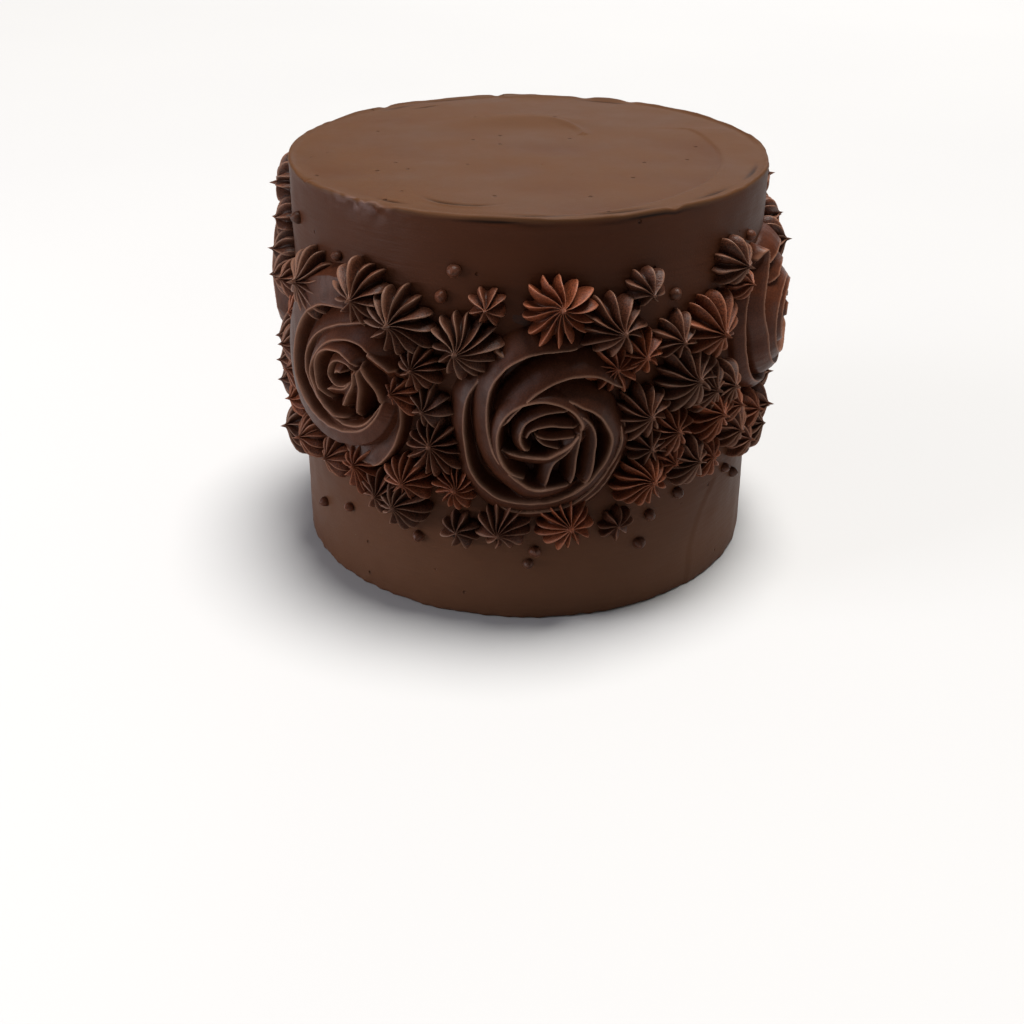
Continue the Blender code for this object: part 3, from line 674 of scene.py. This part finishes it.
class CAKE_OT_ice(Operator):
    """Make the scraped body of the cake, with its uneven lip, smears, slits and seam"""

    bl_idname = "piped_cake.ice"
    bl_label = "Ice the cake"

    def execute(self, context):
        icing = context.scene.cake_icing
        radius, height = CAKE_RADIUS, CAKE_HEIGHT
        profile = icing_profile()
        turn = np.arange(ICING_COLUMNS) / ICING_COLUMNS * 2 * math.pi
        r = np.repeat(profile[:, 0], ICING_COLUMNS)
        z = np.repeat(profile[:, 1], ICING_COLUMNS)
        a = np.tile(turn, len(profile))
        a = np.where(a > math.pi, a - 2 * math.pi, a)
        degrees = np.degrees(a)
        flat = np.stack([r * np.sin(a), -r * np.cos(a), z], axis=-1)
        at_edge = r > radius * 0.985
        on_top = z > height - 0.001

        out = side_relief(icing, flat, degrees)
        out *= np.clip((r - radius * 0.9) / (radius * 0.1), 0, 1) * (z > 0.0001)
        out += foot_relief(flat, r)
        # The rim leans out a little
        out += 0.00035 * bump_at(z, height, 0.0016) * at_edge * (0.4 + ripple(flat, 0.030, 15))
        up = lip_height(icing, flat, r, degrees)
        inside = np.clip((radius * 0.985 - r) / (radius * 0.05), 0, 1) * on_top
        up += inside * top_relief(flat)

        # A thin flap of icing that the scraper folded over the rim at the front, with a slit behind it
        edge = FLAP_RADIUS - 0.000035 * (degrees - FLAP_ANGLE) ** 2
        shown = bump_at(degrees, FLAP_ANGLE, FLAP_HALF) * on_top
        up += 0.00035 * bump_at(r, edge + 0.0018, 0.0010) * shown
        # The slit behind the flap and the slits in the rim are marked for painted shade
        marks = np.minimum(1.2 * bump_at(r, edge, 0.00080) * shown, 1.1)
        for middle, half, inward in RIM_SLITS:
            slit = bump_at(r, radius - inward, 0.0006) * bump_at(degrees, middle, half)
            marks += 0.8 * slit * on_top
        up -= SLIT_DEPTH * marks
        crease = height - 0.0019 - 0.0005 * np.sin(np.radians(degrees) * 9)
        creased = sum(bump_at(degrees, middle, half) for middle, half in CREASES)
        creased = creased * bump_at(z, crease, 0.0004) * (r > radius * 0.99)
        out -= CREASE_DEPTH * creased
        # Creases are marked for painted shade too
        marks += creased
        # A painted sheen on the dented patch of the rim, broken up by ripple
        painted_sheen = bump_at(degrees, -40, 7.5) * bump_at(z, height - 0.0014, 0.0024) * at_edge
        painted_sheen *= np.clip(0.4 + 0.9 * ripple(flat, 0.0038, 21), 0, 0.75)

        across = r + out
        points = np.stack([across * np.sin(a), -across * np.cos(a), np.maximum(z + up, 0)], axis=-1)
        count = len(points)
        top = points[-ICING_COLUMNS:, 2].mean()
        points = np.vstack([points, [(0, 0, 0), (0, 0, top)]])
        faces = closed_faces(len(profile), ICING_COLUMNS, count, count + 1)
        obj = mesh_object("iced_cake", points, faces)
        add_attribute(obj, "marks", np.append(marks, [0, 0]))
        add_attribute(obj, "painted_sheen", np.append(painted_sheen, [0, 0]))
        material = scraped_buttercream(icing.colour, icing.top_colour_with_painted_sheen)
        finish_piece(obj, material, ["cake"])
        return {"FINISHED"}


def smooth_curve(points, steps):
    """A Catmull-Rom curve through points, with steps to each stretch."""
    p = np.array(points, dtype=float)
    p = np.vstack([2 * p[0] - p[1], p, 2 * p[-1] - p[-2]])
    out = []
    for i in range(1, len(p) - 2):
        for s in range(steps):
            t = s / steps
            out.append(
                0.5 * (2 * p[i] + (p[i + 1] - p[i - 1]) * t
                       + (2 * p[i - 1] - 5 * p[i] + 4 * p[i + 1] - p[i + 2]) * t * t
                       + (3 * p[i] - p[i - 1] - 3 * p[i + 1] + p[i + 2]) * t**3)
            )
    out.append(p[-2])
    return np.array(out)


def fold_height(u, v, fold, rose_height):
    """Height of a fold in mm at points near it, their distance from its crest, and their numbers."""
    start, end, width, points, *face = fold
    line = smooth_curve(points, 5)
    reach = 1.5 * width + 3
    near = (u > line[:, 0].min() - reach) & (u < line[:, 0].max() + reach)
    near &= (v > line[:, 1].min() - reach) & (v < line[:, 1].max() + reach)
    near = np.nonzero(near)[0]
    low = line[:-1]
    way = line[1:] - low
    length = np.maximum((way**2).sum(1), 1e-9)
    du = u[near, None] - low[None, :, 0]
    dv = v[near, None] - low[None, :, 1]
    t = np.clip((du * way[None, :, 0] + dv * way[None, :, 1]) / length, 0, 1)
    distance = (du - t * way[None, :, 0]) ** 2 + (dv - t * way[None, :, 1]) ** 2
    nearest = distance.argmin(1)
    rows = np.arange(len(near))
    d = np.sqrt(distance[rows, nearest])
    inside = way[nearest, 0] * dv[rows, nearest] - way[nearest, 1] * du[rows, nearest] > 0
    along = (nearest + t[rows, nearest]) / len(way)
    # A fold runs out lower at both ends
    ends = np.clip(np.minimum(along, 1 - along) / 0.08, 0, 1) ** 0.7
    top = rose_height * 1000 * (start + (end - start) * along) * (0.72 + 0.28 * ends)
    # The gentle face bows out from the crest and ends in an edge; the other drops at once
    drop, last_width = face if face else (min(5.6, 0.95 * width), width)
    width = width + (last_width - width) * along
    share = d / width
    crisp = 0.30 * np.exp(-((d / 0.45) ** 2))
    gentle = drop * (0.45 * share + 0.55 * share**2) + 2.2 * np.clip(d - 1.15 * width, 0, None)
    steep = 4.2 * (np.sqrt(d**2 + 0.12**2) - 0.12)
    return top - np.where(inside, steep, gentle) + crisp, d, near


def rose_surface(u, v, pattern, rose_height):
    """Height in mm and nearness to a crest at points of a rose with a pattern of folds."""
    floor = 0.14 * rose_height * 1000 * np.clip(1 - (np.hypot(u, v) / 25) ** 4, 0, 1)
    height = floor - 0.4
    crest = np.zeros(len(u))
    for fold in pattern:
        h, d, near = fold_height(u, v, fold, rose_height)
        over = h > height[near]
        # Nearness to the topmost crest is kept to paint a highlight along it
        crest[near] = np.where(over, np.exp(-((d / 0.36) ** 2)), crest[near])
        # Folds meet in a narrow soft valley
        soft = 0.10
        height[near] = np.logaddexp(height[near] / soft, h / soft) * soft
    return height, crest


def flip_if_needed(obj):
    """Turns the faces of a closed piece outwards."""
    work = bmesh.new()
    work.from_mesh(obj.data)
    bmesh.ops.recalc_face_normals(work, faces=work.faces)
    work.to_mesh(obj.data)
    work.free()


class CAKE_OT_roses(Operator):
    """Pipe the roses, whose folds wind in to a bud"""

    bl_idname = "piped_cake.roses"
    bl_label = "Pipe the roses"

    def execute(self, context):
        piping = context.scene.cake_piping
        material = piped_buttercream(piping.rose_colour, piping.red_colour, ROSE_SKIN)
        share = np.repeat(np.linspace(0.010, ROSE_REACH, ROSE_ROWS), ROSE_COLUMNS)
        t = np.tile(np.arange(ROSE_COLUMNS) / ROSE_COLUMNS * 2 * math.pi, ROSE_ROWS)
        u, v = share * ROSE_GRID * np.cos(t), share * ROSE_GRID * np.sin(t)
        for index, (name, angle, height, radius) in enumerate(ROSES):
            pattern, drawn_for, turned, red = ROSE_PATTERNS[name]
            spin = math.radians(turned)
            fu = u * math.cos(spin) + v * math.sin(spin)
            fv = v * math.cos(spin) - u * math.sin(spin)
            own = drawn_for / ROSE_GRID
            place = np.stack([fu, fv, np.full(len(fu), 0.7 * index)], axis=-1) / 1000
            # A pattern that is used again is bent, so that no two roses are alike
            bend = 0.12 if turned == 0 else 1.0
            fu, fv = (
                way * own + bend * ripple(place, 0.024, seed + index)
                + 0.10 * ripple(place, 0.006, seed + 10 + index)
                for way, seed in ((fu, 40), (fv, 60))
            )
            out, crest = rose_surface(fu, fv, pattern, piping.rose_height)
            out = out / 1000 + 0.00006 * ripple(place, 0.005, 80 + index)
            out = np.where(share > ROSE_REACH - 0.005, SUNK, np.maximum(out, SUNK))
            scale = radius / ROSE_GRID
            points = on_side(angle, height, u * scale, v * scale, out)
            count = len(points)
            middle = on_side(angle, height, 0, 0, out[:ROSE_COLUMNS].mean())
            below = on_side(angle, height, 0, 0, SUNK - 0.0004)
            points = np.vstack([points, [middle, below]])
            faces = closed_faces(ROSE_ROWS, ROSE_COLUMNS, count, count + 1)
            obj = mesh_object(name + "_piped", points, faces)
            flip_if_needed(obj)
            add_attribute(obj, "crest", np.append(crest, [0, 0]))
            add_attribute(obj, "red", np.full(len(points), red))
            finish_piece(obj, material, [name])
        return {"FINISHED"}


def arc_between(angle_a, height_a, angle_b, height_b):
    """Distance between two places on the side, measured round it, in metres."""
    across = math.radians((angle_a - angle_b + 180) % 360 - 180) * BAND_RADIUS
    return math.hypot(across, height_a - height_b)


def gap_of(angle):
    """The gap between two neighbouring roses that an angle falls in."""
    passed = sum(rose[1] <= angle % 360 for rose in ROSES)
    return GAPS[passed - 1]


def all_stars():
    """Every star: angle, height, width, redness and ridges. Those at the back fill the room there."""
    draw = random.Random(BACK_SEED)
    look = random.Random(BACK_SEED + 1)
    stars = [(a, h / 1000, w / 1000, red, n) for a, h, w, red, n in FRONT_STARS]
    for index in range(BACK_STAR_COUNT):
        share = index / (BACK_STAR_COUNT - 1)
        width = BACK_STAR_WIDEST + (BACK_STAR_NARROWEST - BACK_STAR_WIDEST) * share
        for _ in range(BACK_TRIES):
            angle = draw.uniform(BACK_FROM, BACK_TO)
            rise = BAND_RISE * (1 - math.cos(2 * math.radians(angle)))
            height = draw.uniform(BAND_BOTTOM, BAND_TOP) + rise
            near_star = any(
                arc_between(angle, height, other[0], other[1])
                < (1 - STAR_OVERLAP) * (width + other[2]) / 2
                for other in stars
            )
            on_rose = any(
                arc_between(angle, height, rose[1], rose[2]) < rose[3] + (0.5 - ROSE_OVERLAP) * width
                for rose in ROSES
            )
            if not near_star and not on_rose:
                red = look.choice(BACK_REDS)
                ridges = 8 + round((width - BACK_STAR_NARROWEST) / 0.0016)
                stars.append((angle, height, width, red, ridges))
                break
    return stars


def star_shape(ridges, seed):
    """A star one wide and one high: thin ridges with hollow flutes between them, drawn to a tip."""
    draw = random.Random(seed)
    # How long each ridge is, how far it is moved round, and how it bends
    reach, shift, bend = (
        [draw.uniform(least, most) for _ in range(ridges)]
        for least, most in ((0.89, 1.08), (-0.17, 0.17), (-0.16, 0.16))
    )
    twist = draw.uniform(-0.40, 0.40)
    lean = (draw.uniform(-0.10, 0.10), draw.uniform(-0.10, 0.10))
    tip = draw.uniform(*STAR_TIPS)
    points = []
    crests = []
    for share, rise, groove in STAR_PROFILE:
        # At the foot the ridges end in round lobes
        lobed = 1.7 if rise < 0.5 else 1.25 if rise < 0.7 else 1.0
        away = (1 - share) ** 1.3
        for ridge in range(ridges):
            after = (ridge + 1) % ridges
            for across, deep, pale in RIDGE_LINES:
                depth = deep**lobed
                long, moved, wave = (
                    of[ridge] * (1 - across) + of[after] * across for of in (reach, shift, bend)
                )
                # Ridges keep their places at the foot and gather evenly at the tip
                turn = 2 * math.pi * (ridge + across + moved * share) / ridges
                turn += twist * (1 - share) ** 1.4 + wave * math.sin(math.pi * share) * 4 / ridges
                radius = 0.5 * share * (1 + (long - 1) * share) * (1 - groove * depth)
                top = rise * (1 - 0.55 * groove * depth) if rise > 0 else rise
                x = radius * math.cos(turn) + lean[0] * away
                y = radius * math.sin(turn) + lean[1] * away
                points.append((x, y, top))
                # Each line's painted highlight or painted shade, weaker low on the star
                crests.append(pale * min(1, max(0.2, 0.3 + rise * 2)))
    count = len(points)
    points += [(lean[0], lean[1], tip), (0, 0, STAR_PROFILE[0][1])]
    # The tip gets a strong painted highlight
    crests += [0.8, 0]
    faces = closed_faces(len(STAR_PROFILE), ridges * len(RIDGE_LINES), count + 1, count)
    return points, faces, crests


def store_model(models, name, points, faces, crests):
    """Makes a single star or bead, in a collection that isn't shown."""
    obj = mesh_object(name, points, faces)
    add_attribute(obj, "crest", crests)
    bpy.context.scene.collection.objects.unlink(obj)
    models.objects.link(obj)


def remove_models(models):
    for obj in list(models.objects):
        bpy.data.objects.remove(obj, do_unlink=True)
    bpy.data.collections.remove(models)


def star_models(counts):
    """Models of single stars, some of each number of ridges, and the number of each model."""
    models = bpy.data.collections.new("star models")
    kinds = [(ridges, variant) for ridges in sorted(counts) for variant in range(STAR_VARIANTS)]
    for ridges, variant in kinds:
        shape = star_shape(ridges, 100 * ridges + variant)
        store_model(models, f"star_model_{ridges:02d}_{variant}", *shape)
    # Geometry nodes count models in the order of their names, which is the order of kinds
    return models, {kind: number for number, kind in enumerate(kinds)}


def scatter_tree(models, material, name):
    """A tree that puts a model from the collection on each point, as the point's attributes tell."""
    tree = bpy.data.node_groups.new(name, "GeometryNodeTree")
    tree.interface.new_socket("Geometry", in_out="INPUT", socket_type="NodeSocketGeometry")
    rough = tree.interface.new_socket("Unevenness", in_out="INPUT", socket_type="NodeSocketFloat")
    tree.interface.new_socket("Geometry", in_out="OUTPUT", socket_type="NodeSocketGeometry")
    start = add_node(tree, "NodeGroupInput")
    source = add_node(
        tree, "GeometryNodeCollectionInfo", transform_space="ORIGINAL", Collection=models,
        Separate_Children=True, Reset_Children=True,
    )
    which, turned, sized = (
        add_node(tree, "GeometryNodeInputNamedAttribute", data_type=kind, Name=key).outputs[0]
        for key, kind in (("model", "INT"), ("turned", "FLOAT_VECTOR"), ("sized", "FLOAT_VECTOR"))
    )
    rotation = add_node(tree, "FunctionNodeEulerToRotation", {0: turned})
    links = {
        "Points": start.outputs[0], "Instance": source.outputs[0], "Instance Index": which,
        "Rotation": rotation.outputs[0], "Scale": sized,
    }
    put = add_node(tree, "GeometryNodeInstanceOnPoints", links, Pick_Instance=True)
    real = add_node(tree, "GeometryNodeRealizeInstances", {0: put.outputs[0]})
    # Noise moves the points by up to half the unevenness, each way
    moves = add_node(tree, "ShaderNodeTexNoise", Scale=170.0, Detail=2.0)
    vectors = {0: moves.outputs["Color"], 1: (0.5, 0.5, 0.5)}
    centred = add_node(tree, "ShaderNodeVectorMath", vectors, operation="SUBTRACT")
    vectors = {0: centred.outputs[0], "Scale": start.outputs[1]}
    offset = add_node(tree, "ShaderNodeVectorMath", vectors, operation="SCALE")
    moved = add_node(tree, "GeometryNodeSetPosition", {0: real.outputs[0], "Offset": offset.outputs[0]})
    dressed = add_node(tree, "GeometryNodeSetMaterial", {0: moved.outputs[0]}, Material=material)
    add_node(tree, "NodeGroupOutput", {0: dressed.outputs[0]})
    return tree, rough.identifier


def scatter(name, places, models, material, unevenness):
    """A plain mesh of models put at places: point, way round, size, number of the model, redness."""
    points = bpy.data.meshes.new(name + "_points")
    points.from_pydata([tuple(place[0]) for place in places], [], [])
    kinds = {"turned": "FLOAT_VECTOR", "sized": "FLOAT_VECTOR", "model": "INT", "red": "FLOAT"}
    for at, (key, kind) in enumerate(kinds.items(), 1):
        attribute = points.attributes.new(key, kind, "POINT")
        values = [place[at] for place in places]
        flat = np.array(values, dtype=np.int32 if kind == "INT" else np.float32).ravel()
        attribute.data.foreach_set("vector" if kind == "FLOAT_VECTOR" else "value", flat)
    holder = new_object(name + "_holder", points)
    tree, rough = scatter_tree(models, material, name + " scatter")
    modifier = holder.modifiers.new("scatter", "NODES")
    modifier.node_group = tree
    modifier[rough] = unevenness
    bpy.context.view_layer.update()
    graph = bpy.context.evaluated_depsgraph_get()
    mesh = bpy.data.meshes.new_from_object(holder.evaluated_get(graph), depsgraph=graph)
    if not mesh.polygons:
        raise RuntimeError(f"{name} came out empty")
    mesh.name = name
    obj = new_object(name, mesh)
    holder.modifiers.clear()
    bpy.data.objects.remove(holder, do_unlink=True)
    mesh.shade_smooth()
    return obj


def facing_out(angle, roll, tilt):
    """Turns a model's +Z to point out of the cake's side at an angle, after a roll about +Z."""
    out = Matrix.Rotation(math.radians(angle), 3, "Z")
    level = Matrix.Rotation(math.radians(90 - tilt), 3, "X")
    return (out @ level @ Matrix.Rotation(roll, 3, "Z")).to_euler()


class CAKE_OT_stars(Operator):
    """Pipe the ribbed stars between the roses"""

    bl_idname = "piped_cake.stars"
    bl_label = "Pipe the stars"

    def execute(self, context):
        piping = context.scene.cake_piping
        draw = random.Random(piping.seed)
        material = piped_buttercream(piping.dark_colour, piping.red_colour, STAR_SKIN)
        stars = all_stars()
        models, numbers = star_models({star[4] for star in stars})
        for gap in GAPS:
            places = []
            for angle, height, width, red, ridges in stars:
                if gap_of(angle) != gap:
                    continue
                tall = piping.star_least + piping.star_share * width
                tall *= draw.uniform(0.9, 1.12)
                point = on_side(angle, height, 0, 0, STAR_FOOT)
                way = facing_out(angle, draw.uniform(0, 6.28), draw.uniform(-2, 8))
                number = numbers[(ridges, draw.randrange(STAR_VARIANTS))]
                red = min(1, max(0, red + draw.uniform(-0.08, 0.08)))
                size = (width, width * draw.uniform(0.94, 1.05), tall)
                places.append((point, way, size, number, red))
            nodes = [node for node in frame["nodes"] if node.startswith(f"stars_{gap}_")]
            obj = scatter(f"piped_stars_{gap}", places, models, material, STAR_UNEVENNESS)
            finish_piece(obj, material, nodes)
        remove_models(models)
        return {"FINISHED"}


def bead_shape(variant):
    """A bead of radius one, not quite round, whose drawn tip leans over."""
    lean = BEAD_LEAN * (variant - 1)
    points = []
    for share, rise in BEAD_PROFILE:
        for column in range(BEAD_COLUMNS):
            turn = 2 * math.pi * column / BEAD_COLUMNS
            bulge = 1 + 0.05 * math.sin(2 * turn + variant) + 0.03 * math.sin(3 * turn + 2 * variant)
            x = share * bulge * math.cos(turn) + lean * max(0, rise) ** 2
            points.append((x, share * bulge * math.sin(turn), rise))
    count = len(points)
    points += [(lean * 1.3, 0, 1.2), (0, 0, BEAD_PROFILE[0][1])]
    return points, closed_faces(len(BEAD_PROFILE), BEAD_COLUMNS, count + 1, count), [0.05] * (count + 2)


class CAKE_OT_beads(Operator):
    """Put the small beads of buttercream on the plain part of the side"""

    bl_idname = "piped_cake.beads"
    bl_label = "Put on the beads"

    def execute(self, context):
        piping = context.scene.cake_piping
        draw = random.Random(piping.seed + 1)
        material = piped_buttercream(piping.dark_colour, piping.red_colour, BEAD_SKIN)
        models = bpy.data.collections.new("bead models")
        for variant in range(BEAD_VARIANTS):
            store_model(models, f"bead_model_{variant}", *bead_shape(variant))
        places = []
        for angle, height in BEADS:
            size = piping.bead_radius * draw.uniform(0.85, 1.12)
            point = on_side(angle, height / 1000, 0, 0, BEAD_MIDDLE)
            way = facing_out(angle, draw.uniform(0, 6.28), draw.uniform(-5, 15))
            number = draw.randrange(BEAD_VARIANTS)
            places.append((point, way, (size, size, size * 1.1), number, draw.uniform(0.0, 0.35)))
        obj = scatter("dotted_beads", places, models, material, BEAD_UNEVENNESS)
        finish_piece(obj, material, ["cake"])
        remove_models(models)
        return {"FINISHED"}


def new_light(name, kind, power, colour, way):
    """A light that shines one way, and its settings."""
    data = bpy.data.lights.new(name, kind)
    data.energy = power
    data.color = colour
    obj = new_object(name, data)
    obj.rotation_euler = Vector(way).to_track_quat("-Z", "Y").to_euler()
    return obj, data


def light_stage():
    """A large soft box nearly overhead, a little right and behind, and windows round the cake."""
    box = new_light("soft box overhead", "SUN", 6.3, (1.0, 0.975, 0.94), (-0.12, -0.10, -1.0))[1]
    box.angle = math.radians(28)
    for name, place, aim, size, power, colour in WINDOWS:
        obj, data = new_light(name, "AREA", power, colour, Vector(aim) - Vector(place))
        obj.location = place
        data.shape = "RECTANGLE"
        data.size, data.size_y = size


def painted_floor():
    """Matt white paint, rolled on: no gloss and hardly any colour."""
    corners = [(-1, -1), (1, -1), (1, 1), (-1, 1)]
    points = [(x * FLOOR_REACH, y * FLOOR_REACH, 0) for x, y in corners]
    floor = mesh_object("stage_floor", points, [(0, 1, 2, 3)], smooth=False)
    material, tree, shader = new_material("white paint, rolled on", 0.8, 0.5)
    place = add_node(tree, "ShaderNodeTexCoord").outputs["Object"]
    cloud = add_node(tree, "ShaderNodeTexNoise", {"Vector": place}, Scale=3.0)
    colours = {"Factor": cloud.outputs["Fac"], 6: (*linear("#ABABAC"), 1), 7: (*linear("#AFAFAF"), 1)}
    paint = add_node(tree, "ShaderNodeMix", colours, data_type="RGBA")
    tree.links.new(paint.outputs[2], shader.inputs["Base Color"])
    floor.data.materials.append(material)


def photo_camera():
    """The camera that sees the cake as the photograph does."""
    data = bpy.data.cameras.new("photo view")
    data.lens = LENS
    data.sensor_width = 36
    data.clip_start = 0.01
    camera = new_object("photo view", data)
    level = math.cos(PITCH)
    forward = Vector((math.sin(YAW) * level, math.cos(YAW) * level, -math.sin(PITCH)))
    right = forward.cross(Vector((0, 0, 1))).normalized()
    up = right.cross(forward)
    right = right * math.cos(ROLL) + up * math.sin(ROLL)
    up = right.cross(forward)
    matrix = Matrix((right, up, -forward)).transposed().to_4x4()
    matrix.translation = CAMERA_PLACE
    camera.matrix_world = matrix
    return camera


class CAKE_OT_stage(Operator):
    """Set the pale floor, the soft light and the camera"""

    bl_idname = "piped_cake.stage"
    bl_label = "Set the stage"

    def execute(self, context):
        painted_floor()
        world = bpy.data.worlds.new("soft studio")
        context.scene.world = world
        world.use_nodes = True
        background = world.node_tree.nodes["Background"]
        background.inputs["Color"].default_value = (0.96, 0.98, 1.0, 1)
        background.inputs["Strength"].default_value = 0.14
        light_stage()
        context.scene.view_settings.view_transform = "Standard"
        context.scene.camera = photo_camera()
        return {"FINISHED"}


class CAKE_PT_panel(Panel):
    """The cake's makers in the sidebar"""

    bl_idname = "CAKE_PT_panel"
    bl_label = "Piped layer cake"
    bl_space_type = "VIEW_3D"
    bl_region_type = "UI"
    bl_category = "Cake"

    def draw(self, context):
        for group in (context.scene.cake_icing, context.scene.cake_piping):
            for key in group.bl_rna.properties.keys():
                if key not in ("rna_type", "name"):
                    self.layout.prop(group, key)
        for operator in OPERATORS:
            self.layout.operator(operator.bl_idname)


OPERATORS = (CAKE_OT_ice, CAKE_OT_beads, CAKE_OT_roses, CAKE_OT_stars, CAKE_OT_stage)
CLASSES = (CakeIcing, CakePiping, *OPERATORS, CAKE_PT_panel)


def register():
    for cls in CLASSES:
        bpy.utils.register_class(cls)
    bpy.types.Scene.cake_icing = PointerProperty(type=CakeIcing)
    bpy.types.Scene.cake_piping = PointerProperty(type=CakePiping)


def unregister():
    del bpy.types.Scene.cake_piping
    del bpy.types.Scene.cake_icing
    for cls in reversed(CLASSES):
        bpy.utils.unregister_class(cls)


def main():
    register()
    bpy.ops.piped_cake.ice()
    bpy.ops.piped_cake.beads()
    bpy.ops.piped_cake.roses()
    bpy.ops.piped_cake.stars()
    bpy.ops.piped_cake.stage()


if __name__ == "__main__":
    main()
